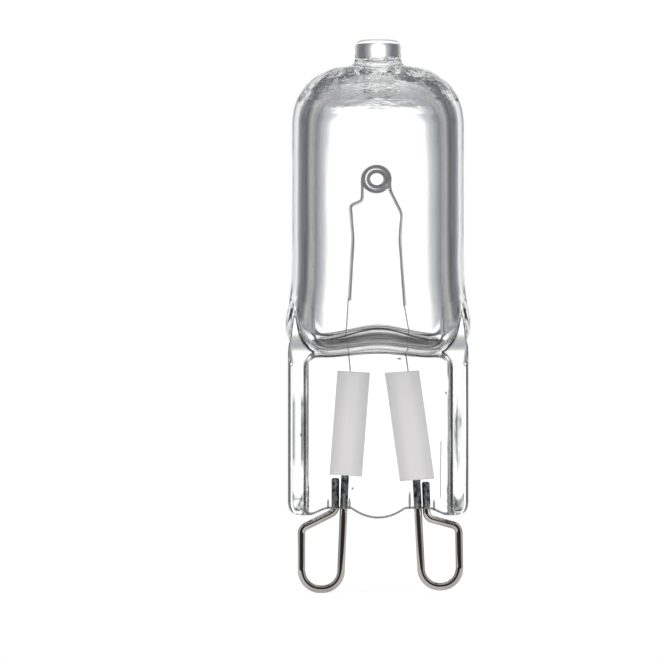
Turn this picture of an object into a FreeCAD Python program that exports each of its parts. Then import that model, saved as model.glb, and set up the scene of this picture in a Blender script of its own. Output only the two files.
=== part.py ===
import FreeCAD, Part
import math
import os

# A clear quartz halogen capsule bulb with two wire loop pins.
# The bulb stands on its pins: +Z is up, X is the broad side of the pinch, Y is through the pinch.
# All sizes are in millimetres. Height zero is the level of the pinch's lower corners.

V = FreeCAD.Vector

# Bulb tube and dome
tube_radius = 6.62
wall = 1.46
dome_top = 34.5
dome_corner = 4.27
chamber_corner = 2.81
chamber_bands = 4
tube_foot = 12.0

# Sealed exhaust stub on the dome
stub_radius = 1.78
stub_top = 36.54
stub_corner = 0.5
stub_foot_slope = 0.3
stub_bore_radius = 1.0
stub_bore_top = 35.6
stub_bore_slope = 0.5

# Hip: fins at both sides run from the pinch up into the tube
hip_height = 14.75
hip_half_width = 7.15
hip_rise = 2.2
hip_drop = 0.95
pinch_half_width = 6.94
nose_foot = 14.5
nose_top = 17.6

# Cup that the jaws leave under the tube: round at the sides, humped in the middle
cup_arc = 5.95
cup_arc_x = 1.01
cup_arc_z = 17.24
cup_level = 12.55
cup_hump = 0.35
cup_draft = 0.1
cup_bevel = 0.8

# Pinch: rails at both sides and a recessed web between them
rail_half_thick = 2.4
web_half_thick = 1.85
web_half_width = 5.46
web_top = 12.15
web_arch = 0.35
web_slope = 0.3
web_corner = 0.8
rail_round = 0.5

# Chamber floor, with a hump in the middle
floor_level = 13.6
floor_hump = 0.7
floor_hump_width = 2.4
floor_slope = 0.6

# Lower edge of the pinch
base_corner = 0.9
base_overlap = 0.06
base_pin_level = 0.5
lobe_level = -0.25
lobe_half_width = 2.1
pin_recess_outer = 3.8
recess_slope = 1.5

# Wire loop pins
pin_wire = 0.6
pin_foot_radius = 1.44
pin_bend = 0.6

# Sealing foils
foil_thick = 0.08
foil_feather = 0.4
foil_weld = 1.5
weld_sink = 0.02

# Filament: coil body, single-coil legs and fine tails
coil_mean_radius = 0.95
coil_wire = 0.28
coil_pitch = 0.75
coil_turns = 4.5
coil_x = -0.11
coil_z = 25.83
coil_lean_x = 0.035
coil_lean_z = 0.06
tail_wire = 0.1

# Sides of the wires' sections
pin_sides = 8
coil_sides = 6
tail_sides = 5

chamber_radius = tube_radius - wall
foil_y = weld_sink - (pin_wire + foil_thick) / 2
tail_y = foil_y + (foil_thick + tail_wire) / 2 - weld_sink


def half_width(z):
    """Half-width of the glass along X: tube above, hip, then pinch."""
    if z > hip_height:
        base = tube_radius
        away = (z - hip_height) / hip_rise
    else:
        base = pinch_half_width
        away = (hip_height - z) / hip_drop
    return base + (hip_half_width - base) * math.exp(-away * away)


def curve(points, first=None, last=None):
    """Smooth edge through the points, with given end directions."""
    spline = Part.BSplineCurve()
    if first:
        spline.interpolate(Points=points, InitialTangent=first, FinalTangent=last)
    else:
        spline.interpolate(points)
    return spline.toShape()


def line(a, b):
    return Part.LineSegment(a, b).toShape()


def arc(a, middle, b):
    return Part.Arc(a, middle, b).toShape()


def rounded_path(points, bends):
    """Edges through the points, with each inner corner rounded by a tangent arc."""
    edges = []
    start = points[0]
    for corner, after, bend in zip(points[1:-1], points[2:], bends):
        back = (start - corner).normalize()
        ahead = (after - corner).normalize()
        half = back.getAngle(ahead) / 2
        reach = bend / math.tan(half)
        inward = (back + ahead).normalize()
        first = corner + back * reach
        last = corner + ahead * reach
        middle = corner + inward * (bend / math.sin(half) - bend)
        edges.append(line(start, first))
        edges.append(arc(first, middle, last))
        start = last
    edges.append(line(start, points[-1]))
    return edges


def wire_solid(edges, diameter, sides):
    """Wire along the edges, with a many-sided section of the same area as a round one."""
    path = Part.Wire(edges)
    first = edges[0]
    direction = first.tangentAt(first.FirstParameter)
    point = first.valueAt(first.FirstParameter)
    across = direction.cross(V(0, 1, 0)).normalize()
    step = 360 / sides
    reach = diameter / 2 * math.sqrt(2 * math.pi / (sides * math.sin(math.radians(step))))
    corners = []
    for i in range(sides + 1):
        turn = FreeCAD.Rotation(direction, step * (i + 0.5))
        corners.append(point + turn.multVec(across) * reach)
    profile = Part.makePolygon(corners)
    return path.makePipeShell([profile], True, True)


def turned(edges):
    """Solid turned about the Z axis from edges in the XZ plane that close along the axis."""
    face = Part.Face(Part.Wire(edges))
    return face.revolve(V(0, 0, 0), V(0, 0, 1), 360)


def arc_between(centre, radius, angle_a, angle_b):
    """Arc in the XZ plane about a centre, between two angles in degrees."""
    spots = []
    for angle in (angle_a, (angle_a + angle_b) / 2, angle_b):
        turn = math.radians(angle)
        spots.append(centre + V(math.cos(turn), 0, math.sin(turn)) * radius)
    return arc(*spots)


def tube_body():
    """Tube, dome and exhaust stub."""
    corner_centre = V(tube_radius - dome_corner, 0, dome_top - dome_corner)
    stub_centre = V(stub_radius - stub_corner, 0, stub_top - stub_corner)
    foot_low = V(stub_radius + stub_foot_slope, 0, dome_top)
    foot_high = V(stub_radius, 0, dome_top + stub_foot_slope)
    edges = [
        line(V(0, 0, tube_foot), V(tube_radius, 0, tube_foot)),
        line(V(tube_radius, 0, tube_foot), V(tube_radius, 0, corner_centre.z)),
        arc_between(corner_centre, dome_corner, 0, 45),
        arc_between(corner_centre, dome_corner, 45, 90),
        line(V(corner_centre.x, 0, dome_top), foot_low),
        line(foot_low, foot_high),
        line(foot_high, V(stub_radius, 0, stub_centre.z)),
        arc_between(stub_centre, stub_corner, 0, 45),
        arc_between(stub_centre, stub_corner, 45, 90),
        line(V(stub_centre.x, 0, stub_top), V(0, 0, stub_top)),
        line(V(0, 0, stub_top), V(0, 0, tube_foot)),
    ]
    return turned(edges)


def chamber():
    """Hollow of the tube and dome, with the bore of the stub, closed below by the humped floor."""
    top = dome_top - wall
    corner_centre = V(chamber_radius - chamber_corner, 0, top - chamber_corner)
    bore_side = V(stub_bore_radius, 0, stub_bore_top - stub_bore_slope)
    bore_end = V(stub_bore_radius - stub_bore_slope, 0, stub_bore_top)
    foot_side = V(chamber_radius, 0, floor_level + floor_slope)
    foot_low = V(chamber_radius - floor_slope, 0, floor_level)
    edges = [
        line(V(0, 0, floor_level), foot_low),
        line(foot_low, foot_side),
        line(foot_side, V(chamber_radius, 0, corner_centre.z)),
    ]
    before = V(chamber_radius, 0, corner_centre.z)
    for i in range(1, chamber_bands + 1):
        turn = math.pi / 2 * i / chamber_bands
        after = corner_centre + V(math.cos(turn), 0, math.sin(turn)) * chamber_corner
        edges.append(line(before, after))
        before = after
    edges += [
        line(before, V(stub_bore_radius, 0, top)),
        line(V(stub_bore_radius, 0, top), bore_side),
        line(bore_side, bore_end),
        line(bore_end, V(0, 0, stub_bore_top)),
        line(V(0, 0, stub_bore_top), V(0, 0, floor_level)),
    ]
    reach = chamber_radius + 1
    spots = 6
    levels = []
    for i in range(spots + 1):
        x = reach * (2 * i / spots - 1)
        levels.append(V(x, 0, floor_level + floor_hump * math.exp(-(x / floor_hump_width) ** 2)))
    low = tube_foot - 1
    floor = Part.Face(Part.Wire([
        curve(levels),
        line(levels[-1], V(reach, 0, low)),
        line(V(reach, 0, low), V(-reach, 0, low)),
        line(V(-reach, 0, low), levels[0]),
    ]))
    floor.translate(V(0, -reach, 0))
    return turned(edges).cut(floor.extrude(V(0, 2 * reach, 0)))


def jaw_cup(side):
    """What one jaw presses away under the tube: a slightly rising block with the cup as its top."""
    far = tube_radius + 1
    low = tube_foot - 1
    foot_x = cup_arc_x + math.sqrt(cup_arc ** 2 - (cup_arc_z - cup_level) ** 2)
    foot_angle = math.degrees(math.asin((cup_level - cup_arc_z) / cup_arc))
    centre = V(cup_arc_x, 0, cup_arc_z)
    right = arc_between(centre, cup_arc, foot_angle, 0)
    top = V(cup_arc_x + cup_arc, 0, cup_arc_z)
    middle = arc(V(-foot_x, 0, cup_level), V(0, 0, cup_level + cup_hump), V(foot_x, 0, cup_level))
    edges = [
        middle,
        right,
        line(top, V(far, 0, top.z)),
        line(V(far, 0, top.z), V(far, 0, low)),
        line(V(far, 0, low), V(-far, 0, low)),
        line(V(-far, 0, low), V(-far, 0, top.z)),
        line(V(-far, 0, top.z), V(-top.x, 0, top.z)),
        right.mirror(V(0, 0, 0), V(1, 0, 0)),
    ]
    face = Part.Face(Part.Wire(Part.__sortEdges__(edges)))
    face.translate(V(0, 0, -cup_draft * rail_half_thick))
    return face.extrude(V(0, side * far, cup_draft * far))


def bevelled(tube):
    """The tube with a bevel along the front and back rim of the cup."""
    rims = []
    for edge in tube.Edges:
        box = edge.BoundBox
        if box.ZMax < hip_height and box.XLength > tube_radius and box.YLength > cup_bevel:
            rims.append(edge)
    return tube.makeChamfer(cup_bevel, rims)


def pinch_bar():
    """Flat bar of the pinch with the hip's outline, its fins rounded off towards the tube."""
    low = lobe_level - 1
    spots = 5
    flank = []
    for i in range(spots + 1):
        z = tube_foot + (nose_top - tube_foot) * i / spots
        flank.append(V(half_width(z), 0, z))
    flank[0].x = pinch_half_width
    left_foot = V(-flank[0].x, 0, flank[0].z)
    left_top = V(-flank[-1].x, 0, nose_top)
    right = curve(flank, V(0, 0, 1), V(-0.1, 0, 1))
    start = V(pinch_half_width, 0, low)
    outline = Part.Wire([
        line(start, flank[0]),
        right,
        line(flank[-1], left_top),
        right.mirror(V(0, 0, 0), V(1, 0, 0)),
        line(left_foot, V(-start.x, 0, low)),
        line(V(-start.x, 0, low), start),
    ])
    reach = rail_half_thick + 1
    bar = Part.Face(outline)
    bar.translate(V(0, -reach, 0))
    bar = bar.extrude(V(0, 2 * reach, 0))
    nose = Part.Ellipse(V(0, 0, nose_top), V(0, rail_half_thick, nose_foot), V(0, 0, nose_foot))
    nose = Part.ArcOfEllipse(nose, -math.pi / 2, math.pi / 2).toShape()
    ends = [vertex.Point for vertex in nose.Vertexes]
    feet = [V(0, end.y, low) for end in ends]
    edges = [nose, line(ends[0], feet[0]), line(feet[0], feet[1]), line(feet[1], ends[1])]
    far = hip_half_width + 1
    block = Part.Face(Part.Wire(Part.__sortEdges__(edges)))
    block.translate(V(-far, 0, 0))
    bar = bar.common(block.extrude(V(2 * far, 0, 0))).Solids[0]
    creases = []
    for edge in bar.Edges:
        box = edge.BoundBox
        if box.ZLength > 0.5 and box.XMin * box.XMax > 0 and box.ZMax > low + 1:
            creases.append(edge)
    return bar.makeFillet(rail_round, creases)


def panel_wire(y, grow):
    """Outline of the pressed web, wider by grow at its sides and top."""
    half = web_half_width + grow
    top = web_top + grow
    low = lobe_level - 1
    corner = web_corner
    side_l = V(-half, y, top - corner)
    side_r = V(half, y, top - corner)
    start = V(-half + corner, y, top)
    end = V(half - corner, y, top)
    turn = corner * math.sqrt(0.5)
    mid_l = V(-half + corner - turn, y, top - corner + turn)
    mid_r = V(half - corner + turn, y, top - corner + turn)
    return Part.Wire([
        line(V(-half, y, low), side_l),
        arc(side_l, mid_l, start),
        arc(start, V(0, y, top + web_arch), end),
        arc(end, mid_r, side_r),
        line(side_r, V(half, y, low)),
        line(V(half, y, low), V(-half, y, low)),
    ])


def web_press(side):
    """Material pressed away from one broad face of the pinch."""
    extra = 0.1
    depth = rail_half_thick - web_half_thick
    slope = web_slope / depth
    outer = panel_wire(side * (rail_half_thick + extra), web_slope + extra * slope)
    inner = panel_wire(side * web_half_thick, 0)
    return Part.makeLoft([inner, outer], True, True)


def base_trim():
    """Everything under the wavy lower edge of the pinch."""
    far = pinch_half_width + 1
    low = lobe_level - 2
    side = pinch_half_width + base_overlap
    recess_foot = pin_recess_outer + recess_slope
    turn = base_corner * (1 - math.sqrt(0.5))
    lobe_start = V(-lobe_half_width, 0, base_pin_level)
    lobe_end = V(lobe_half_width, 0, base_pin_level)
    edges = [
        line(V(-far, 0, low), V(-far, 0, base_corner)),
        line(V(-far, 0, base_corner), V(-side, 0, base_corner)),
        arc(V(-side, 0, base_corner), V(-side + turn, 0, turn), V(-side + base_corner, 0, 0)),
        line(V(-side + base_corner, 0, 0), V(-recess_foot, 0, 0)),
        line(V(-recess_foot, 0, 0), V(-pin_recess_outer, 0, base_pin_level)),
        line(V(-pin_recess_outer, 0, base_pin_level), lobe_start),
        arc(lobe_start, V(0, 0, lobe_level), lobe_end),
        line(lobe_end, V(pin_recess_outer, 0, base_pin_level)),
        line(V(pin_recess_outer, 0, base_pin_level), V(recess_foot, 0, 0)),
        line(V(recess_foot, 0, 0), V(side - base_corner, 0, 0)),
        arc(V(side - base_corner, 0, 0), V(side - turn, 0, turn), V(side, 0, base_corner)),
        line(V(side, 0, base_corner), V(far, 0, base_corner)),
        line(V(far, 0, base_corner), V(far, 0, low)),
        line(V(far, 0, low), V(-far, 0, low)),
    ]
    block = Part.Face(Part.Wire(edges)).extrude(V(0, 4 * rail_half_thick, 0))
    block.translate(V(0, -2 * rail_half_thick, 0))
    return block


def foil(centre_x, centre_z, width, length, lean):
    """Sealing foil with feathered edges, leaning about Y by a few degrees."""
    half = width / 2
    flat = half - foil_feather
    thick = foil_thick / 2
    front = [(-half, 0), (-flat, -thick), (flat, -thick), (half, 0)]
    corners = front + [(flat, thick), (-flat, thick), (-half, 0)]
    outline = Part.makePolygon([V(x, y, -length / 2) for x, y in corners])
    shape = Part.Face(outline).extrude(V(0, 0, length))
    shape.rotate(V(0, 0, 0), V(0, 1, 0), lean)
    shape.translate(V(centre_x, foil_y, centre_z))
    return shape


def pin(spots):
    """Wire loop through six corner points (x, z) in the middle plane."""
    points = [V(x, 0, z) for x, z in spots]
    bends = [pin_foot_radius, pin_foot_radius, pin_bend, pin_bend]
    return wire_solid(rounded_path(points, bends), pin_wire, pin_sides)


def coil_filament():
    """Coil body with both legs as one winding, and the two fine tails."""
    length = coil_pitch * coil_turns
    climb = coil_pitch / (2 * math.pi * coil_mean_radius)
    centre = V(coil_x, 0, coil_z)
    lean = FreeCAD.Rotation(V(0, 1, 0), V(coil_lean_x, 1, coil_lean_z))
    up = lean.multVec(V(0, climb, 1)).normalize()
    down = lean.multVec(V(0, climb, -1)).normalize()
    start = centre + lean.multVec(V(-coil_mean_radius, -length / 2, 0))
    end = centre + lean.multVec(V(coil_mean_radius, length / 2, 0))
    left = [
        V(-2.19, -0.5, 16.5),
        V(-1.88, -1.5, 21.2),
        V(-2.08, -2.2, 23.72),
        start - up * 1.65,
        start,
    ]
    right = [
        end,
        end + down * 0.85,
        V(1.9, 2.1, 23.15),
        V(1.74, 1.4, 21.2),
        V(2.07, 0.3, 16.1),
    ]
    helix = Part.makeHelix(coil_pitch, length, coil_mean_radius)
    helix.rotate(V(0, 0, 0), V(1, 0, 0), -90)
    helix.translate(centre - V(0, length / 2, 0))
    helix.rotate(centre, V(0, 1, 0), 180)
    helix.rotate(centre, lean.Axis, math.degrees(lean.Angle))
    edges = rounded_path(left, [6.0, 0.35, 0.35])
    edges += helix.Edges
    edges += rounded_path(right, [0.8, 0.35, 6.0])
    body = wire_solid(edges, coil_wire, coil_sides)
    aside = (coil_wire - tail_wire) / 2 - 0.02
    tails = [
        [V(-2.19 - aside, -0.47, 16.7), V(-2.42, tail_y, 14.1), V(-2.0, tail_y, 9.7)],
        [V(2.07 - aside, 0.3, 16.3), V(2.38, tail_y, 14.1), V(2.02, tail_y, 9.7)],
    ]
    for points in tails:
        body = body.fuse(wire_solid(rounded_path(points, [3.0]), tail_wire, tail_sides))
    return body


os.makedirs("parts", exist_ok=True)

# Metal inside and below the glass
pin_left = pin([
    (-2.54 + 0.05 * foil_weld, 3.06 + foil_weld),
    (-2.9, -5.71),
    (-5.89, -5.71),
    (-5.88, -1.04),
    (-3.28, 0.26),
    (-3.28, 2.86),
])
pin_right = pin([
    (2.95 - 0.05 * foil_weld, 2.69 + foil_weld),
    (3.38, -5.52),
    (6.3, -5.52),
    (6.2, -0.89),
    (3.76, -0.23),
    (3.66, 2.57),
])
filament = coil_filament()
foil_left = foil(-2.18, 7.04, 2.5, 8.0, 4.4).cut([pin_left, filament])
foil_right = foil(2.45, 6.87, 2.65, 8.4, -8.0).cut([pin_right, filament])

# Quartz envelope, with room for the sealed-in metal
tube = bevelled(tube_body().cut([jaw_cup(-1), jaw_cup(1)]))
shell = tube.fuse(pinch_bar())
shell = shell.cut([web_press(-1), web_press(1), base_trim()])
envelope = shell.cut([chamber(), pin_left, pin_right, foil_left, foil_right, filament])

nodes = {
    "quartz_envelope": envelope,
    "filament": filament,
    "foil_left": foil_left,
    "foil_right": foil_right,
    "pin_left": pin_left,
    "pin_right": pin_right,
}
for name, shape in nodes.items():
    print(name, shape.ShapeType, len(shape.Solids), shape.isValid(), round(shape.Volume, 3))
    if len(shape.Solids) == 1:
        shape = shape.Solids[0]
    shape.exportStep("parts/" + name + ".step")
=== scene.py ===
import math

import bmesh
import bpy
import numpy as np
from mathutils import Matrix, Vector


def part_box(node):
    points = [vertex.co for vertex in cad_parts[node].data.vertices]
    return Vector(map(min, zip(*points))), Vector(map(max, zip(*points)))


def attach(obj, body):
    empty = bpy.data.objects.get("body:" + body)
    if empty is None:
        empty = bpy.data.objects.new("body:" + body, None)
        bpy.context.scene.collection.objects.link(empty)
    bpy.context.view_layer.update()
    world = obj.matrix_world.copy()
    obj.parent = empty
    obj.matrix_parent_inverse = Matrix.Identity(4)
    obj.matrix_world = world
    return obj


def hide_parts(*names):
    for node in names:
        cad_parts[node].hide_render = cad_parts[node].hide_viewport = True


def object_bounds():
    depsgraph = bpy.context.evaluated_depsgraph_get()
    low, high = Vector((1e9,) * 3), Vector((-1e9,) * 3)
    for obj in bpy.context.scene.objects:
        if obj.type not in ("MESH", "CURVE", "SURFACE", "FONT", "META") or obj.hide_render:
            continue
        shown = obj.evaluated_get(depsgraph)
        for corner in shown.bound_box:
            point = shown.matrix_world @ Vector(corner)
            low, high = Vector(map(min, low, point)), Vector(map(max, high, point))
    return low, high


# The dressed halogen capsule bulb: clear quartz, coiled tungsten, sealing foils and bright loop pins.
# Shapes are worked out in millimetres in the frame of the solids, and scaled to metres at the end.

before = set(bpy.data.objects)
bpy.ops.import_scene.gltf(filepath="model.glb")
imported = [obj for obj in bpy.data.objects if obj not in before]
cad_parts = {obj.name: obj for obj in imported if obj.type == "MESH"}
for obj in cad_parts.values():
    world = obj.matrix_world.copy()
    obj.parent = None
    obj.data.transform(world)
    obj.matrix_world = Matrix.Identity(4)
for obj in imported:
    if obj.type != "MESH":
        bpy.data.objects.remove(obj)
cad_low, cad_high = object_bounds()

MM = 0.001
glass_low, glass_high = [np.array(corner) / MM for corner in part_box("quartz_envelope")]

# Bulb tube, dome and exhaust stub
tube_radius = (glass_high[1] - glass_low[1]) / 2
wall = 1.46
dome_top = 34.5
dome_corner = 4.27
stub_radius = 1.78
stub_top = glass_high[2]
stub_corner = 0.6
stub_foot_blend = 0.7

# Chamber in the tube, with a slight taper below its crown and the bore of the stub above it
chamber_radius = tube_radius - wall
chamber_top = 33.15
chamber_corner = 3.1
crown_taper = 0.1
crown_foot = 27.0
crown_head = 31.2
stub_bore_radius = 1.0
stub_bore_top = 34.7
stub_bore_corner = 0.4
stub_bore_sink = 1.0
stub_bore_blend = 0.4

# Columns of the chamber's mesh, and how close points of the glass may lie before they are joined
chamber_columns = 132
merge_distance = 0.002

# Hip and pinch
hip_height = 14.75
hip_half_width = (glass_high[0] - glass_low[0]) / 2
hip_rise = 1.8
hip_drop = 0.95
flare_rise = 2.4
tube_flare = 0.05
chamber_flare = 0.06
nose_foot = 14.5
nose_top = 17.6
pinch_half_width = 6.94
rail_half_thick = 2.4
rail_blend = 1.0
web_half_thick = 1.85
web_half_width = 5.46
web_top = 12.15
web_arch = 0.35
web_slope = 0.3
web_corner = 0.8
junction_blend = 0.15
shoulder_growth = 0.5

# Fins, which follow the rails from a start up into the tube and bow round it
fin_start = 11.5
fin_sharp = 13.0
fin_bowed = 16.5
fin_blend = 0.15
fin_bow_limit = 0.95

# Cup of the pressing jaws, which leaves the tube's bottom round at the sides and humped in the middle
cup_arc = 5.95
cup_arc_x = 1.01
cup_arc_z = 17.24
cup_arc_end = 5.49
cup_level = 12.3
cup_hump = 0.4
cup_hump_width = 2.8
cup_blend = 0.5
cup_draft = 0.1
rim_blend = 0.7

# Floor of the chamber
floor_level = 12.75
floor_hump = 0.7
floor_hump_width = 2.8
floor_blend = 1.3

# Lower edge of the pinch
base_pin_level = 0.5
lobe_level = -0.25
lobe_half_width = 2.1
pin_recess_outer = 3.8
recess_slope = 1.5
base_edge_blend = 0.45
base_corner_blend = 1.0
base_corner_start = 4.6
base_corner_end = 6.4

# Painted shade where the pinch seals the bulb: a dark humped band on the outside of the glass, with a
# grey lid above it and a dark line along the crest of the lid
shade_band_level = 12.75
shade_band_hump = 0.45
shade_band_hump_width = 2.7
shade_band_height = 0.65
shade_band_growth = 0.12
crest_gap = 0.36
crest_half_width = 0.05
crest_shade = (0.02, 0.021, 0.024)
lid_rise = (1.05, 1.6)
lid_strength = 0.55
lid_shade = (0.3, 0.3, 0.32)
shade_ring = (5.7, 6.0)
shade_fade_x = (5.0, 5.5)

# Dark ragged lines along the rails of the pinch, a patch on the left and a streak on the right, by their
# bounds along X and Z
rail_mark_x = (5.38, 5.68)
rail_mark_z = (0.7, 11.6)
left_patch_x = (-5.86, -5.5)
left_patch_z = (4.4, 8.6)
right_streak_x = (5.85, 6.05)
right_streak_z = (3.4, 9.2)
mark_strength = 0.9

# Slanted smudges at the lower corners of the pinch
smudge_x = (5.32, 6.3)
smudge_z = (-0.2, 2.2)
smudge_slant = 0.5
smudge_reach = (5.0, 6.55)

# Crack in the pinch, and specks by middle along X and Z, half-width and half-height
crack_x = (4.78, 4.84)
crack_z = (1.5, 5.6)
crack_strength = 0.85
speck_strength = 0.95
specks = [
    (1.615, 12.03, 0.18, 0.08),
    (-1.96, 2.08, 0.1, 0.09),
    (-5.9, 6.2, 0.09, 0.16),
    (5.2, 9.4, 0.07, 0.12),
    (-3.84, 0.8, 0.1, 0.5),
    (-2.2, 0.8, 0.1, 0.6),
    (2.42, 1.1, 0.1, 0.8),
    (4.28, 0.75, 0.1, 0.5),
]

# Puckers of the dome, and the look of quartz
pucker_z = (32.6, 34.7)
quartz_ior = 1.458
mark_tint = (0.02, 0.022, 0.024)

# Loop pins and foils
pin_wire = 0.6
pin_foot_radius = 1.44
pin_bend = 0.6
pin_end_soft = 0.12
pin_sides = 28
foil_thick = 0.08
foil_feather = 0.4
weld_sink = 0.02
weld_length = 1.5
weld_lean = 0.05
foil_y = weld_sink - (pin_wire + foil_thick) / 2

# Coil body, whose middle turns are narrower
coil_outer_radius = 1.03
coil_inner_radius = 0.63
coil_narrowing = (0.25, 0.4)
coil_widening = (0.72, 0.88)
coil_squash = 0.94
coil_pitch = 0.75
coil_turns = 4.5
coil_points = 600
coil_x = -0.11
coil_z = 25.83
coil_lean_x = 0.02
coil_lean_z = 0.03

# Winding of the strand, legs and tails
strand_radius = 0.052
strand_sides = 6
winding_radius = 0.104
winding_pitch = 0.18
points_per_winding = 13
leg_bow = 6.0
leg_bend = 0.35
left_rise = 1.65
right_drop = 0.85
right_bend = 0.8
tail_radius = 0.05
tail_bend = 1.5
tail_sides = 10

# Camera, from the photograph's frame of 661 pixels at 13 pixels to the millimetre
frame_width = 50.85
camera_x = -3.654
camera_z = 14.19
camera_distance = 520.0
sensor_width = 36.0

# Floor, and how often light may pass through glass or be mirrored
floor_radius = 110.0
floor_back = 75.0
floor_sides = 96
light_bounces = 32
mirror_bounces = 8


def mesh_object(name, vertices, faces, smooth=True):
    """New object from millimetre vertices and index faces."""
    mesh = bpy.data.meshes.new(name)
    mesh.from_pydata((np.asarray(vertices) * MM).tolist(), [], faces)
    mesh.validate()
    mesh.update()
    if smooth:
        mesh.shade_smooth()
    piece = bpy.data.objects.new(name, mesh)
    bpy.context.scene.collection.objects.link(piece)
    return piece


def smooth_max(a, b, blend):
    """The larger of two fields, with the crease rounded over a blend length."""
    share = np.clip(0.5 + 0.5 * (a - b) / blend, 0, 1)
    return b * (1 - share) + a * share + blend * share * (1 - share)


def smooth_min(a, b, blend):
    """The smaller of two fields, rounded in the same way."""
    return -smooth_max(-a, -b, blend)


def smooth_step(low, high, value):
    """Nought below a low value, one above a high value, and an even curve between them."""
    t = np.clip((value - low) / (high - low), 0, 1)
    return t * t * (3 - 2 * t)


def rounded_corner(out, up, corner):
    """Field of a corner between two flat fields, rounded by a radius."""
    inside = np.minimum(np.maximum(out, up), 0)
    return np.hypot(np.maximum(out, 0), np.maximum(up, 0)) + inside - corner


def rounded_turning(ring, z, radius, top, corner):
    """Field of an endless upright cylinder whose top edge has a round corner."""
    return rounded_corner(ring - (radius - corner), z - (top - corner), corner)


def half_width(z):
    """Half-width of the pinch along X, with the fins that run up into the tube above the hip."""
    base = np.where(z > hip_height, tube_radius, pinch_half_width)
    scale = np.where(z > hip_height, hip_rise, hip_drop)
    return base + (hip_half_width - base) * np.exp(-((z - hip_height) / scale) ** 2)


def flare(z, growth):
    """How much wider along X the tube gets towards the hip."""
    return 1 + growth * np.exp(-(np.maximum(z - hip_height, 0) / flare_rise) ** 2)


def hump(x, level, height, width):
    """Level line that rises in the middle."""
    return level + height * np.exp(-(x / width) ** 2)


def pinch_half_thick(x, z):
    """Half-thickness of the pinch: thin on the pressed web, thicker on the rails and above the web."""
    top = web_top + web_arch * (1 - (x / web_half_width) ** 2)
    out = np.abs(x) - (web_half_width - web_corner)
    away = rounded_corner(out, z - (top - web_corner), web_corner)
    nose = np.clip((z - nose_foot) / (nose_top - nose_foot), 0, 1)
    shoulder = shoulder_growth * smooth_step(web_top, hip_height, z)
    rail = (rail_half_thick + shoulder) * np.sqrt(1 - nose ** 2)
    return web_half_thick + (rail - web_half_thick) * smooth_step(0, web_slope, away)


def base_level(x):
    """Height of the wavy lower edge."""
    away = np.abs(x)
    lobe = lobe_level + (base_pin_level - lobe_level) * (away / lobe_half_width) ** 2
    recess = np.minimum(lobe, base_pin_level)
    return recess * (1 - smooth_step(pin_recess_outer, pin_recess_outer + recess_slope, away))


def cup_field(x, y, z):
    """Negative above the cup of the jaws."""
    out = np.maximum(np.abs(x) - cup_arc_x, 0)
    bent = np.minimum(out, cup_arc_end)
    drop = np.sqrt(cup_arc ** 2 - bent ** 2)
    slope = bent / drop
    side = (cup_arc_z - drop + (out - bent) * slope - z) / np.hypot(1, slope)
    cup = smooth_max(side, hump(x, cup_level, cup_hump, cup_hump_width) - z, cup_blend)
    return cup + cup_draft * (np.abs(y) - rail_half_thick)


def glass_field(x, y, z):
    """Negative inside the outer form of the bulb."""
    ring = np.hypot(x / flare(z, tube_flare), y)
    bulb = rounded_turning(ring, z, tube_radius, dome_top, dome_corner)
    stub = rounded_turning(ring, z, stub_radius, stub_top, stub_corner)
    stub = np.maximum(stub, dome_top - dome_corner - z)
    bulb = smooth_min(bulb, stub, stub_foot_blend)
    bulb = smooth_max(bulb, cup_field(x, y, z), rim_blend)
    edge_blend = rail_blend + (fin_blend - rail_blend) * smooth_step(fin_start, fin_sharp, z)
    bow = np.sqrt(1 - np.minimum(np.abs(y) / tube_radius, fin_bow_limit) ** 2)
    edge = half_width(z) * (1 - smooth_step(fin_start, fin_bowed, z) * (1 - bow))
    pinch = smooth_max(np.abs(y) - pinch_half_thick(x, z), np.abs(x) - edge, edge_blend)
    pinch = np.maximum(pinch, z - nose_top)
    shape = smooth_min(bulb, pinch, junction_blend)
    corner_share = smooth_step(base_corner_start, base_corner_end, np.abs(x))
    base_blend = base_edge_blend + (base_corner_blend - base_edge_blend) * corner_share
    return smooth_max(shape, base_level(x) - z, base_blend)


def chamber_field(x, y, z):
    """Negative inside the sealed chamber."""
    ring = np.hypot(x / flare(z, chamber_flare), y)
    taper = crown_taper * smooth_step(crown_foot, crown_head, z)
    shape = rounded_turning(ring + taper, z, chamber_radius, chamber_top, chamber_corner)
    bore = rounded_turning(ring, z, stub_bore_radius, stub_bore_top, stub_bore_corner)
    bore = np.maximum(bore, chamber_top - stub_bore_sink - z)
    shape = smooth_min(shape, bore, stub_bore_blend)
    return smooth_max(shape, hump(x, floor_level, floor_hump, floor_hump_width) - z, floor_blend)


def surface_points(field, start, ray, reach=14.0, steps=140, halvings=26):
    """Where rays from inside points first leave a field."""
    inside = np.zeros(len(start))
    outside = np.full(len(start), reach)
    found = np.zeros(len(start), bool)
    for i in range(1, steps + 1):
        along = reach * i / steps
        spot = start + ray * along
        left = (field(spot[:, 0], spot[:, 1], spot[:, 2]) > 0) & ~found
        outside[left] = along
        found |= left
        inside[~found] = along
    for _ in range(halvings):
        along = (inside + outside) / 2
        spot = start + ray * along[:, None]
        beyond = field(spot[:, 0], spot[:, 1], spot[:, 2]) > 0
        outside = np.where(beyond, along, outside)
        inside = np.where(beyond, inside, along)
    return start + ray * ((inside + outside) / 2)[:, None]


def sweep(stations):
    """Rows of (height, angle, spread) between stations.

    A station also says how many rows lead to it, and whether these change their slope evenly instead
    of their angle. Spread is nought for rays from the axis, and one for rays from feet along X.
    """
    rows = [stations[0][:3]]
    for before, after in zip(stations[:-1], stations[1:]):
        count, by_slope = after[3:]
        for i in range(1, count + 1):
            t = i / count
            height = before[0] + (after[0] - before[0]) * t
            spread = before[2] + (after[2] - before[2]) * t
            if by_slope:
                low, high = [math.tan(math.radians(s[1])) for s in (before, after)]
                angle = math.degrees(math.atan(low + (high - low) * t))
            else:
                angle = before[1] + (after[1] - before[1]) * t
            rows.append((height, angle, spread))
    return np.array(rows)


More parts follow.
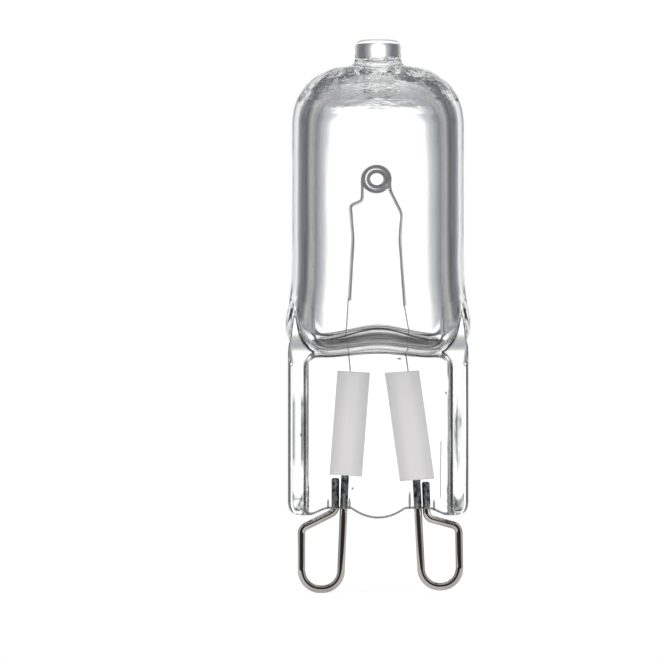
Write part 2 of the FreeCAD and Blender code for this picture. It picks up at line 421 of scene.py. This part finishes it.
def ring_faces(rings, count):
    """Quads between neighbouring rings of points."""
    faces = []
    for ring in range(rings - 1):
        near = ring * count
        far = near + count
        for column in range(count):
            after = (column + 1) % count
            faces.append([near + column, near + after, far + after, far + column])
    return faces


def join(parts):
    """One vertex list and one face list from several."""
    vertices = []
    faces = []
    count = 0
    for part_vertices, part_faces in parts:
        vertices.append(part_vertices)
        faces += [[index + count for index in face] for face in part_faces]
        count += len(part_vertices)
    return np.concatenate(vertices), faces


def skin(field, rows, columns, inward=False):
    """Closed skin of a field, sampled by rows of rays.

    Columns are (direction on the circle, foot on X, direction from that foot).
    """
    circle, foot, aside = columns
    count = len(foot)
    column = np.tile(np.arange(count), len(rows))
    spread = np.repeat(rows[:, 2], count)
    heading = circle[column] * (1 - spread)[:, None] + aside[column] * spread[:, None]
    heading /= np.linalg.norm(heading, axis=1)[:, None]
    angle = np.radians(np.repeat(rows[:, 1], count))
    start = np.zeros((len(heading), 3))
    start[:, 0] = foot[column] * spread
    start[:, 2] = np.repeat(rows[:, 0], count)
    ray = np.column_stack([heading * np.cos(angle)[:, None], np.sin(angle)])
    faces = ring_faces(len(rows), count)
    if not inward:
        faces = [face[::-1] for face in faces]
    return surface_points(field, start, ray), faces


def pinch_columns():
    """Columns that turn from a circle round the tube into a rounded bar round the pinch."""
    foot_end = 6.4
    step_start = 5.32
    rail_feet = 18
    web_feet = 76
    corner = 0.5
    corner_points = 9
    flat_points = 5
    feet = np.concatenate([
        np.linspace(-foot_end, -step_start, rail_feet)[:-1],
        np.linspace(-step_start, step_start, web_feet),
        np.linspace(step_start, foot_end, rail_feet)[1:],
    ])
    bend = np.linspace(0, np.pi / 2, corner_points)
    corner_x = pinch_half_width - corner + corner * np.cos(bend)
    corner_y = rail_half_thick - corner + corner * np.sin(bend)
    flat_y = np.linspace(0, rail_half_thick - corner, flat_points + 1)[:-1]
    end_x = np.concatenate([np.full(flat_points, pinch_half_width), corner_x])
    end_y = np.concatenate([flat_y, corner_y])
    cap = np.arctan2(end_y, end_x - foot_end)
    cap = np.concatenate([-cap[:0:-1], cap])
    cap_feet = np.full(len(cap), foot_end)
    foot = np.concatenate([cap_feet, feet[::-1], -cap_feet, feet])
    side = np.full(len(feet), np.pi / 2)
    turn = np.concatenate([cap, side, cap + np.pi, -side])
    count = len(foot)
    even = 2 * np.pi * (np.arange(count) - (len(cap) - 1) / 2) / count
    circle = np.column_stack([np.cos(even), np.sin(even)])
    return circle, foot, np.column_stack([np.cos(turn), np.sin(turn)])


def round_columns(count):
    """Columns all round the axis."""
    even = 2 * np.pi * np.arange(count) / count
    circle = np.column_stack([np.cos(even), np.sin(even)])
    return circle, np.zeros(count), circle


def merge(piece, distance):
    """Joins points that lie closer together than a distance in millimetres."""
    mesh = bmesh.new()
    mesh.from_mesh(piece.data)
    bmesh.ops.remove_doubles(mesh, verts=mesh.verts, dist=distance * MM)
    bmesh.ops.dissolve_degenerate(mesh, edges=mesh.edges, dist=distance * MM / 2)
    mesh.to_mesh(piece.data)
    mesh.free()
    piece.data.shade_smooth()


def glass_piece():
    """Bulb with its sealed chamber. The metal sealed into the pinch lies straight in the glass."""
    outer_rows = sweep([
        (35.3, 90, 0),
        (35.3, 0, 0, 16, False),
        (34.95, 0, 0, 3, False),
        (33.5, 30, 0, 7, False),
        (32.2, 48, 0, 5, False),
        (30.2, 62, 0, 3, False),
        (30.2, 0, 0, 28, False),
        (22, 0, 0, 12, False),
        (16.5, 0, 1, 18, False),
        (16.5, -20, 1, 8, False),
        (16.5, -64.5, 1, 50, False),
        (11.2, 0, 1, 12, True),
        (1.7, 0, 1, 36, False),
        (1.7, -90, 1, 24, False),
    ])
    chamber_rows = sweep([
        (34.1, 90, 0),
        (34.1, 0, 0, 16, False),
        (33.4, 0, 0, 6, False),
        (31.5, 50, 0, 10, False),
        (29.5, 62, 0, 4, False),
        (29.5, 0, 0, 40, False),
        (18, 0, 0, 16, False),
        (18, -30, 0, 12, False),
        (18, -48, 0, 26, False),
        (18, -90, 0, 20, False),
    ])
    outer = skin(glass_field, outer_rows, pinch_columns())
    chamber = skin(chamber_field, chamber_rows, round_columns(chamber_columns), inward=True)
    piece = mesh_object("quartz_bulb", *join([outer, chamber]))
    merge(piece, merge_distance)
    return piece


def bent_line(points, bends, step):
    """Points along straight runs whose corners are rounded by tangent arcs."""
    points = [np.array(p, float) for p in points]
    line = [points[0]]
    for corner, after, bend in zip(points[1:-1], points[2:], bends):
        back = line[-1] - corner
        back /= np.linalg.norm(back)
        ahead = (after - corner) / np.linalg.norm(after - corner)
        half = math.acos(np.clip(back @ ahead, -1, 1)) / 2
        reach = bend / math.tan(half)
        inward = (back + ahead) / np.linalg.norm(back + ahead)
        centre = corner + inward * bend / math.sin(half)
        first = corner + back * reach - centre
        last = corner + ahead * reach - centre
        sweep_angle = math.pi - 2 * half
        count = max(2, math.ceil(bend * sweep_angle / step))
        for i in range(count + 1):
            t = i / count
            a = math.sin((1 - t) * sweep_angle)
            b = math.sin(t * sweep_angle)
            line.append(centre + (first * a + last * b) / math.sin(sweep_angle))
    line.append(points[-1])
    return np.array(line)


def run_lengths(points):
    """Length of each run of a line, and the distance along the line at each point."""
    lengths = np.linalg.norm(np.diff(points, axis=0), axis=1)
    return lengths, np.concatenate([[0], np.cumsum(lengths)])


def even_line(points, step):
    """The same line with evenly spaced points."""
    lengths, along = run_lengths(points)
    keep = np.concatenate([[True], lengths > 1e-9])
    spots = np.linspace(0, along[-1], max(2, math.ceil(along[-1] / step)))
    return np.column_stack([np.interp(spots, along[keep], points[keep, i]) for i in range(3)])


def line_sides(points):
    """Two side directions carried along a line without twist."""
    tangent = np.gradient(points, axis=0)
    tangent /= np.linalg.norm(tangent, axis=1)[:, None]
    side = np.cross(tangent[0], [0.31, 0.83, 0.46])
    sides = []
    for t in tangent:
        side = side - t * (side @ t)
        side = side / np.linalg.norm(side)
        sides.append(side)
    sides = np.array(sides)
    return sides, np.cross(tangent, sides)


def tube(points, radii, around):
    """Vertices and faces of a round wire with closed ends, with one radius or one for each point."""
    side, other = line_sides(points)
    radii = np.broadcast_to(radii, len(points))
    turns = 2 * np.pi * np.arange(around) / around
    along_side = side[:, None, :] * np.cos(turns)[None, :, None]
    along_other = other[:, None, :] * np.sin(turns)[None, :, None]
    ring = along_side + along_other
    vertices = (points[:, None, :] + ring * radii[:, None, None]).reshape(-1, 3)
    faces = ring_faces(len(points), around)
    faces.append(list(range(around))[::-1])
    faces.append([(len(points) - 1) * around + j for j in range(around)])
    return vertices, faces


def coil_line():
    """Middle line of the winding: left leg, coil body, right leg."""
    length = coil_pitch * coil_turns
    climb = coil_pitch / (2 * math.pi * coil_outer_radius)
    turn = np.linspace(0, 2 * math.pi * coil_turns, coil_points)
    along = coil_pitch * turn / (2 * math.pi) - length / 2
    share = turn / turn[-1]
    narrow = smooth_step(*coil_narrowing, share) * (1 - smooth_step(*coil_widening, share))
    radius = coil_outer_radius + (coil_inner_radius - coil_outer_radius) * narrow
    body = np.column_stack([
        coil_x - radius * np.cos(turn) + coil_lean_x * along,
        along,
        coil_z + coil_squash * radius * np.sin(turn) + coil_lean_z * along,
    ])
    up = np.array([0, climb, 1]) / math.hypot(climb, 1)
    down = up * [1, 1, -1]
    start = body[0]
    end = body[-1]
    left = [
        (-2.19, -0.5, 16.5),
        (-1.88, -1.5, 21.2),
        (-2.08, -2.2, 23.72),
        start - up * left_rise,
        start,
    ]
    right = [
        end,
        end + down * right_drop,
        (1.9, 2.1, 23.15),
        (1.74, 1.4, 21.2),
        (2.07, 0.3, 16.1),
    ]
    step = 0.03
    left_leg = bent_line(left, [leg_bow, leg_bend, leg_bend], step)
    right_leg = bent_line(right, [right_bend, leg_bend, leg_bow], step)
    return np.concatenate([left_leg, body[1:-1], right_leg])


def filament_piece():
    """Coiled coil with its single-coil legs, and the fine tails that run to the foils."""
    line = even_line(coil_line(), winding_pitch / points_per_winding)
    side, other = line_sides(line)
    turn = 2 * np.pi * run_lengths(line)[1] / winding_pitch
    strand = line + winding_radius * (side * np.cos(turn)[:, None] + other * np.sin(turn)[:, None])
    parts = [tube(strand, strand_radius, strand_sides)]
    tail_y = foil_y + (foil_thick + 2 * tail_radius) / 2 - weld_sink
    tails = [
        [(-2.26, -0.47, 16.7), (-2.42, tail_y, 14.1), (-2.0, tail_y, 9.7)],
        [(2.0, 0.3, 16.3), (2.36, tail_y, 14.1), (2.08, tail_y, 12.7), (2.46, tail_y, 10.0)],
    ]
    step = 0.1
    for points in tails:
        bends = [tail_bend] * (len(points) - 2)
        line = even_line(bent_line(points, bends, step), step)
        parts.append(tube(line, tail_radius, tail_sides))
    return mesh_object("filament_winding", *join(parts))


def pin_piece(name, spots):
    """Wire loop through six corner points (x, z) in the middle plane, with softened ends."""
    points = [(x, 0, z) for x, z in spots]
    bends = [pin_foot_radius, pin_foot_radius, pin_bend, pin_bend]
    step = 0.08
    line = even_line(bent_line(points, bends, 0.05), step)
    index = np.arange(len(line))
    from_end = np.minimum(index, index[::-1]) * step
    short = pin_end_soft - np.minimum(from_end, pin_end_soft)
    swell = np.sqrt(np.maximum(pin_end_soft ** 2 - short ** 2, 0))
    return mesh_object(name, *tube(line, pin_wire / 2 - pin_end_soft + swell, pin_sides))


def foil_piece(name, centre_x, centre_z, width, length, lean, end_lean):
    """Sealing foil with feathered edges, its sides and its ends leaning about Y by a few degrees."""
    columns = 25
    rows = 60
    thinnest = 0.02
    across = np.sin(np.linspace(-0.5, 0.5, columns) * math.pi) * width / 2
    along = np.linspace(-length / 2, length / 2, rows)
    thick = foil_thick / 2 * np.clip((width / 2 - np.abs(across)) / foil_feather, thinnest, 1)
    turn = math.radians(lean)
    end_turn = math.radians(end_lean)
    vertices = []
    for side in (-1, 1):
        for v in along:
            x = centre_x + across * math.cos(end_turn) + v * math.sin(turn)
            z = centre_z - across * math.sin(end_turn) + v * math.cos(turn)
            vertices.append(np.column_stack([x, foil_y + side * thick, z]))
    back = columns * rows
    faces = []
    for i in range(rows - 1):
        for j in range(columns - 1):
            corner = i * columns + j
            front = [corner, corner + 1, corner + columns + 1, corner + columns]
            faces.append(front)
            faces.append([index + back for index in front[::-1]])
    lower = list(range(columns))
    right = [i * columns + columns - 1 for i in range(1, rows)]
    upper = [(rows - 1) * columns + j for j in range(columns - 2, -1, -1)]
    left = [i * columns for i in range(rows - 2, 0, -1)]
    rim = lower + right + upper + left
    for a, b in zip(rim, rim[1:] + rim[:1]):
        faces.append([b, a, a + back, b + back])
    piece = mesh_object(name, np.concatenate(vertices), faces)
    # Share of the way out to the foil's edge, which its material turns into painted shade
    edge_share = np.tile(np.abs(across) / (width / 2), 2 * rows)
    piece.data.attributes.new("across", "FLOAT", "POINT").data.foreach_set("value", edge_share)
    return piece


def opaque(colour):
    """Colour with its alpha, from three parts or from a grey level."""
    parts = colour if isinstance(colour, tuple) else (colour, colour, colour)
    return (*parts, 1)


class Graph:
    """Nodes of a material or of the world, with a short call for each kind that is used often."""

    def __init__(self, tree):
        self.nodes = tree.nodes
        self.links = tree.links

    def feed(self, value, socket):
        """Gives a socket a plain number, a plain colour or a link."""
        if isinstance(value, tuple):
            socket.default_value = opaque(value)
        elif isinstance(value, (int, float)):
            socket.default_value = value
        else:
            self.links.new(value, socket)

    def math(self, operation, *values, clamp=False):
        node = self.nodes.new("ShaderNodeMath")
        node.operation = operation
        node.use_clamp = clamp
        for value, socket in zip(values, node.inputs):
            self.feed(value, socket)
        return node.outputs[0]

    def chain(self, operation, values):
        """One operation carried through several values."""
        result = values[0]
        for value in values[1:]:
            result = self.math(operation, result, value)
        return result

    def total(self, *values):
        return self.chain("ADD", values)

    def product(self, *values):
        return self.chain("MULTIPLY", values)

    def largest(self, *values):
        return self.chain("MAXIMUM", values)

    def span(self, value, low, high, new_low=0, new_high=1):
        """Value carried from one range to another, and kept inside it."""
        node = self.nodes.new("ShaderNodeMapRange")
        node.inputs["From Min"].default_value = low
        node.inputs["From Max"].default_value = high
        node.inputs["To Min"].default_value = new_low
        node.inputs["To Max"].default_value = new_high
        self.links.new(value, node.inputs["Value"])
        return node.outputs["Result"]

    def between(self, value, bounds, soft):
        """One between two bounds, falling to nought over a soft length outside them."""
        low, high = bounds
        return self.product(self.span(value, low - soft, low), self.span(value, high, high + soft, 1, 0))

    def noise(self, scale, stretch=(1, 1, 1), detail=3.0, seed=0.0):
        """Noise in object space, with an optional stretch along the axes."""
        place = self.nodes.new("ShaderNodeTexCoord")
        mapping = self.nodes.new("ShaderNodeMapping")
        mapping.inputs["Scale"].default_value = stretch
        mapping.inputs["Location"].default_value = (seed, seed * 0.7, seed * 1.3)
        texture = self.nodes.new("ShaderNodeTexNoise")
        texture.inputs["Scale"].default_value = scale
        texture.inputs["Detail"].default_value = detail
        self.links.new(place.outputs["Object"], mapping.inputs["Vector"])
        self.links.new(mapping.outputs["Vector"], texture.inputs["Vector"])
        return texture.outputs["Fac"]

    def bump(self, height, strength, distance, normal=None):
        node = self.nodes.new("ShaderNodeBump")
        node.inputs["Strength"].default_value = strength
        node.inputs["Distance"].default_value = distance
        self.links.new(height, node.inputs["Height"])
        if normal is not None:
            self.links.new(normal, node.inputs["Normal"])
        return node.outputs["Normal"]

    def ramp(self, value, stops):
        """Colour by stops of (value, colour or grey level)."""
        low = stops[0][0]
        high = stops[-1][0]
        node = self.nodes.new("ShaderNodeValToRGB")
        self.links.new(self.span(value, low, high), node.inputs[0])
        elements = node.color_ramp.elements
        elements[0].color = opaque(stops[0][1])
        elements[1].color = opaque(stops[-1][1])
        for spot, colour in stops[1:-1]:
            elements.new((spot - low) / (high - low)).color = opaque(colour)
        return node.outputs["Color"]

    def mix(self, share, first, second, blend="MIX"):
        """Mix of two colours. A colour mix has its share at socket 0 and its colours at 6 and 7."""
        node = self.nodes.new("ShaderNodeMix")
        node.data_type = "RGBA"
        node.blend_type = blend
        self.feed(share, node.inputs[0])
        self.feed(first, node.inputs[6])
        self.feed(second, node.inputs[7])
        return node.outputs[2]

    def axes(self, source):
        """Texture coordinates of a kind along X, Y and Z."""
        place = self.nodes.new("ShaderNodeTexCoord")
        split = self.nodes.new("ShaderNodeSeparateXYZ")
        self.links.new(place.outputs[source], split.inputs[0])
        return [split.outputs[axis] for axis in "XYZ"]

    def millimetres(self):
        """Place on the object along X, Y and Z in millimetres."""
        return [self.math("DIVIDE", axis, MM) for axis in self.axes("Object")]

    def light_path(self):
        """Kinds of ray, and one for rays that show things straight, mirrored or through glass."""
        path = self.nodes.new("ShaderNodeLightPath").outputs
        seen = self.largest(path["Is Camera Ray"], path["Is Glossy Ray"], path["Is Transmission Ray"])
        return path, seen


def new_material(name):
    """Material with its graph and the inputs of its shader."""
    material = bpy.data.materials.new(name)
    material.use_nodes = True
    graph = Graph(material.node_tree)
    return material, graph, graph.nodes["Principled BSDF"].inputs


def pinch_dark_marks(graph):
    """Share of the dark ragged marks in the pinch, along its rails and at its lower corners, with the
    crack and the specks.
    """
    x, y, z = graph.millimetres()
    away = graph.math("ABSOLUTE", x)
    ragged = graph.noise(1500, (1, 1, 0.14), detail=5.0, seed=1.7)
    streaks = graph.noise(1300, (1, 1, 0.1), detail=4.0, seed=5.3)
    rail = graph.product(graph.between(away, rail_mark_x, 0.1), graph.span(ragged, 0.37, 0.46))
    left_patch = graph.product(
        graph.between(x, left_patch_x, 0.1),
        graph.between(z, left_patch_z, 1.0),
        graph.span(ragged, 0.3, 0.4),
    )
    right_streak = graph.product(
        graph.between(x, right_streak_x, 0.08),
        graph.between(z, right_streak_z, 0.4),
        graph.span(streaks, 0.46, 0.52),
    )
    pressed = graph.between(z, rail_mark_z, 0.5)
    lines = graph.product(graph.largest(rail, left_patch, right_streak), pressed)
    slant = graph.total(away, graph.product(z, smudge_slant))
    smudge = graph.product(
        graph.between(slant, smudge_reach, 0.15),
        graph.between(away, smudge_x, 0.06),
        graph.between(z, smudge_z, 0.3),
        graph.span(graph.noise(2600, detail=4.0, seed=2.2), 0.3, 0.52),
    )
    wobble = graph.span(ragged, 0.3, 0.7, -0.06, 0.06)
    crack = graph.between(graph.total(x, wobble), crack_x, 0.03)
    spots = graph.product(crack, graph.between(z, crack_z, 0.3), crack_strength)
    for spot_x, spot_z, wide, tall in specks:
        a = graph.math("DIVIDE", graph.math("SUBTRACT", x, spot_x), wide)
        b = graph.math("DIVIDE", graph.math("SUBTRACT", z, spot_z), tall)
        reach = graph.total(graph.product(a, a), graph.product(b, b))
        spots = graph.largest(spots, graph.span(reach, 0.6, 1.4, speck_strength, 0))
    front = graph.math("LESS_THAN", y, 0.0)
    marks = graph.product(graph.largest(lines, smudge), mark_strength)
    return graph.largest(marks, graph.product(spots, front))


def painted_seal_shade(graph):
    """Grey painted shade on the outside of the bulb's bottom, in a humped band with dark edges."""
    x, y, z = graph.millimetres()
    wide = graph.math("DIVIDE", x, shade_band_hump_width)
    bell = graph.math("EXPONENT", graph.product(wide, wide, -1.0))
    foot = graph.total(graph.product(bell, shade_band_hump), shade_band_level)
    tall = graph.total(graph.product(bell, shade_band_growth), shade_band_height)
    rise = graph.math("DIVIDE", graph.math("SUBTRACT", z, foot), tall)
    streaks = graph.noise(900, (0.35, 0.35, 1.0), detail=4.0, seed=3.1)
    wavy_rise = graph.total(rise, graph.span(streaks, 0.3, 0.7, -0.05, 0.05))
    band = graph.ramp(wavy_rise, [
        (-0.4, 1.0),
        (-0.14, 1.0),
        (-0.07, 0.12),
        (0.02, 0.06),
        (0.1, 0.16),
        (0.3, 0.12),
        (0.42, 0.04),
        (0.85, 0.04),
        (0.97, 0.01),
        (1.05, 0.01),
        (1.14, 0.8),
        (1.2, 1.0),
        (1.4, 1.0),
    ])
    slope = graph.ramp(wavy_rise, [
        (-1.3, 1.0),
        (-1.06, 1.0),
        (-1.0, 0.3),
        (-0.8, 0.4),
        (-0.5, 0.34),
        (-0.44, 1.0),
        (-0.4, 1.0),
    ])
    # Painted shade: a dark line along the crest, with a grey lid under it
    crest = graph.total(tall, graph.product(bell, crest_gap), foot)
    over = graph.math("SUBTRACT", z, crest)
    under_crest = graph.span(over, -0.03, 0.03, lid_strength, 0)
    lid = graph.product(graph.between(rise, lid_rise, 0.1), under_crest)
    crest_line = graph.between(over, (-crest_half_width, crest_half_width), 0.04)
    band = graph.mix(lid, band, lid_shade)
    band = graph.mix(crest_line, band, crest_shade)
    ring = graph.math("SQRT", graph.total(graph.product(x, x), graph.product(y, y)))
    outside = graph.span(ring, *shade_ring)
    middle = graph.span(graph.math("ABSOLUTE", x), *shade_fade_x, 1, 0)
    shaded_band = graph.mix(graph.product(outside, middle), (1.0, 1.0, 1.0), band)
    return graph.mix(middle, shaded_band, graph.mix(1.0, shaded_band, slope, "MULTIPLY"))


def glass_material():
    """Clear quartz with faint drawing ripples, a puckered dome and painted shade at the seal below the
    bulb.
    """
    material, graph, shader = new_material("clear_quartz")
    # The glass's colour is the painted shade at the seal, with the dark marks, crack and specks of the
    # pinch laid over it
    tint = graph.mix(pinch_dark_marks(graph), painted_seal_shade(graph), mark_tint)
    graph.feed(tint, shader["Base Color"])
    shader["Transmission Weight"].default_value = 1.0
    shader["IOR"].default_value = quartz_ior
    shader["Roughness"].default_value = 0.0
    ripple = graph.noise(260, (1, 1, 0.35), detail=6.0)
    rippled = graph.bump(ripple, strength=0.08, distance=0.0002)
    crown = graph.between(graph.millimetres()[2], pucker_z, 0.8)
    pucker = graph.product(graph.noise(420, (1, 1, 2.2), detail=4.0, seed=7.7), crown)
    puckered = graph.bump(pucker, strength=0.6, distance=0.0004, normal=rippled)
    graph.feed(puckered, shader["Normal"])
    return material


def tungsten_material():
    """Grey wire whose colour and gloss wander a little."""
    material, graph, shader = new_material("tungsten_wire")
    shader["Metallic"].default_value = 1.0
    tone = graph.noise(900, detail=4.0)
    colour = graph.mix(graph.span(tone, 0.3, 0.7), (0.16, 0.16, 0.17), (0.3, 0.3, 0.31))
    graph.feed(colour, shader["Base Color"])
    graph.feed(graph.span(tone, 0.3, 0.7, 0.28, 0.455), shader["Roughness"])
    return material


def pin_material():
    """Bright drawn wire, dull and blotchy where it is sealed into the glass."""
    material, graph, shader = new_material("bright_pin_wire")
    shader["Metallic"].default_value = 1.0
    shader["Roughness"].default_value = 0.02
    drawn = graph.span(graph.noise(420, (1, 1, 0.25), detail=4.0), 0.3, 0.7)
    bright = graph.mix(drawn, (0.34, 0.32, 0.3), (0.5, 0.475, 0.45))
    blotch = graph.span(graph.noise(3600, (1, 1, 0.8), seed=4.4), 0.38, 0.62)
    dull = graph.mix(blotch, (0.015, 0.016, 0.018), (0.12, 0.125, 0.13))
    height = graph.millimetres()[2]
    sealed = graph.span(height, base_pin_level - 0.1, base_pin_level + 0.05)
    graph.feed(graph.mix(sealed, bright, dull), shader["Base Color"])
    grain = graph.noise(1500, (1, 1, 0.1), seed=6.1)
    graph.feed(graph.bump(grain, strength=0.12, distance=0.0001), shader["Normal"])
    return material


def foil_material():
    """Satin foil with painted shade, a little darker towards its feathered edges and lighter in the
    middle, as on a rounded section.
    """
    material, graph, shader = new_material("satin_foil")
    shader["Roughness"].default_value = 0.6
    across = graph.nodes.new("ShaderNodeAttribute")
    across.attribute_name = "across"
    # Painted shade: lighter in the middle of the foil, darker towards its edges
    middle = graph.span(across.outputs["Fac"], 0.25, 1, 1, 0)
    grain = graph.span(graph.noise(500, (1, 1, 0.1), detail=2.0), 0.3, 0.7, -0.08, 0.08)
    share = graph.math("ADD", middle, grain, clamp=True)
    graph.feed(graph.mix(share, (0.78, 0.775, 0.78), (0.98, 0.96, 0.97)), shader["Base Color"])
    return material


def floor_material():
    """White where it is seen, with the object's shadow, and plain pale for the light it throws back."""
    material, graph = new_material("pale_floor")[:2]
    nodes = graph.nodes
    nodes.remove(nodes["Principled BSDF"])
    plain = nodes.new("ShaderNodeBsdfDiffuse")
    plain.inputs["Color"].default_value = opaque(0.8)
    shaded = nodes.new("ShaderNodeBsdfDiffuse")
    shaded.inputs["Color"].default_value = opaque(0.2)
    glow = nodes.new("ShaderNodeEmission")
    glow.inputs["Strength"].default_value = 0.82
    bright = nodes.new("ShaderNodeAddShader")
    graph.feed(shaded.outputs[0], bright.inputs[0])
    graph.feed(glow.outputs[0], bright.inputs[1])
    mix = nodes.new("ShaderNodeMixShader")
    graph.feed(graph.light_path()[1], mix.inputs[0])
    graph.feed(plain.outputs[0], mix.inputs[1])
    graph.feed(bright.outputs[0], mix.inputs[2])
    graph.feed(mix.outputs[0], nodes["Material Output"].inputs["Surface"])
    return material


def floor_piece():
    """Round floor under the pins, mostly behind the bulb."""
    turn = 2 * np.pi * np.arange(floor_sides) / floor_sides
    height = np.full(floor_sides, cad_low.z / MM)
    depth = floor_back + floor_radius * np.sin(turn)
    rim = np.column_stack([floor_radius * np.cos(turn), depth, height])
    floor = mesh_object("floor", rim, [list(range(floor_sides))], smooth=False)
    floor.data.materials.append(floor_material())


def studio_world():
    """White studio, with colours by the angle in degrees from straight behind the bulb.

    Glass sees a bright window behind the bulb with grey beside it. Metal sees soft boxes at the sides.
    """
    world = bpy.data.worlds.new("studio")
    bpy.context.scene.world = world
    world.use_nodes = True
    graph = Graph(world.node_tree)
    backward = graph.axes("Generated")[1]
    turn = graph.math("DEGREES", graph.math("ARCCOSINE", backward))
    grey = (0.078, 0.084, 0.1)
    through = graph.ramp(turn, [
        (0, 1.12),
        (10.3, 1.1),
        (11.6, (0.86, 0.86, 0.85)),
        (13, (0.6, 0.61, 0.61)),
        (14.7, (0.45, 0.47, 0.49)),
        (16.6, (0.39, 0.41, 0.435)),
        (19, (0.26, 0.28, 0.305)),
        (22.6, (0.17, 0.185, 0.21)),
        (27, grey),
        (43, grey),
        (49, (0.2, 0.205, 0.21)),
        (55, 0.4),
        (66, 0.45),
        (76, 0.95),
        (95, 1.5),
        (180, 1.5),
    ])
    mirrored = graph.ramp(turn, [
        (0, 1.0),
        (12, 1.0),
        (25, (0.25, 0.25, 0.26)),
        (45, (0.14, 0.14, 0.15)),
        (60, 0.4),
        (76, 1.0),
        (102, 1.0),
        (118, (0.45, 0.44, 0.43)),
        (130, (0.08, 0.075, 0.07)),
        (180, 0.04),
    ])
    path, seen = graph.light_path()
    shown = graph.mix(path["Is Transmission Ray"], mirrored, through)
    lit = graph.mix(seen, (0.95, 0.95, 0.96), shown)
    white = graph.mix(path["Is Camera Ray"], lit, (1.0, 1.0, 1.0))
    background = graph.nodes["Background"].inputs
    graph.feed(white, background["Color"])
    background["Strength"].default_value = 1.0


def soft_lamp(name, place, size, watts):
    """Soft area lamp that faces the middle of the bulb and stays out of glass and mirror images."""
    light = bpy.data.lights.new(name, "AREA")
    light.size = size
    light.energy = watts
    lamp = bpy.data.objects.new(name, light)
    bpy.context.scene.collection.objects.link(lamp)
    aim = (cad_low + cad_high) / 2
    lamp.location = aim + type(aim)(place)
    lamp.rotation_euler = (aim - lamp.location).to_track_quat("-Z", "Y").to_euler()
    lamp.visible_glossy = False
    lamp.visible_transmission = False


def camera():
    """Level camera far in front of the bulb."""
    data = bpy.data.cameras.new("camera")
    data.sensor_width = sensor_width
    data.lens = sensor_width * camera_distance / frame_width
    data.clip_start = 0.01
    data.clip_end = 5
    view = bpy.data.objects.new("camera", data)
    bpy.context.scene.collection.objects.link(view)
    view.location = (camera_x * MM, -camera_distance * MM, camera_z * MM)
    view.rotation_euler = (math.radians(90), 0, 0)
    bpy.context.scene.camera = view


def finish_piece(piece, material, node):
    """Dresses a piece, and lets it stand for its solid."""
    piece.data.materials.append(material)
    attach(piece, "root")
    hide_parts(node)


finish_piece(glass_piece(), glass_material(), "quartz_envelope")
finish_piece(filament_piece(), tungsten_material(), "filament")

pin_metal = pin_material()
left_spots = [
    (-2.54 + weld_lean * weld_length, 3.06 + weld_length),
    (-2.9, -5.71),
    (-5.89, -5.71),
    (-5.88, -1.04),
    (-3.28, 0.26),
    (-3.28, 2.86),
]
right_spots = [
    (2.95 - weld_lean * weld_length, 2.69 + weld_length),
    (3.38, -5.52),
    (6.3, -5.52),
    (6.2, -0.89),
    (3.76, -0.23),
    (3.66, 2.57),
]
finish_piece(pin_piece("loop_pin_left", left_spots), pin_metal, "pin_left")
finish_piece(pin_piece("loop_pin_right", right_spots), pin_metal, "pin_right")

foil_metal = foil_material()
foil_left = foil_piece(
    "sealing_foil_left",
    centre_x=-2.18,
    centre_z=7.04,
    width=2.5,
    length=8.0,
    lean=4.4,
    end_lean=3.6,
)
foil_right = foil_piece(
    "sealing_foil_right",
    centre_x=2.42,
    centre_z=6.87,
    width=2.65,
    length=8.4,
    lean=-8.0,
    end_lean=-4.0,
)
finish_piece(foil_left, foil_metal, "foil_left")
finish_piece(foil_right, foil_metal, "foil_right")

floor_piece()
studio_world()
soft_lamp("lamp_above", place=(0.05, -0.15, 0.45), size=0.4, watts=1.2)
camera()
scene = bpy.context.scene
scene.view_settings.view_transform = "Standard"
scene.cycles.max_bounces = light_bounces
scene.cycles.glossy_bounces = mirror_bounces
scene.cycles.transmission_bounces = light_bounces
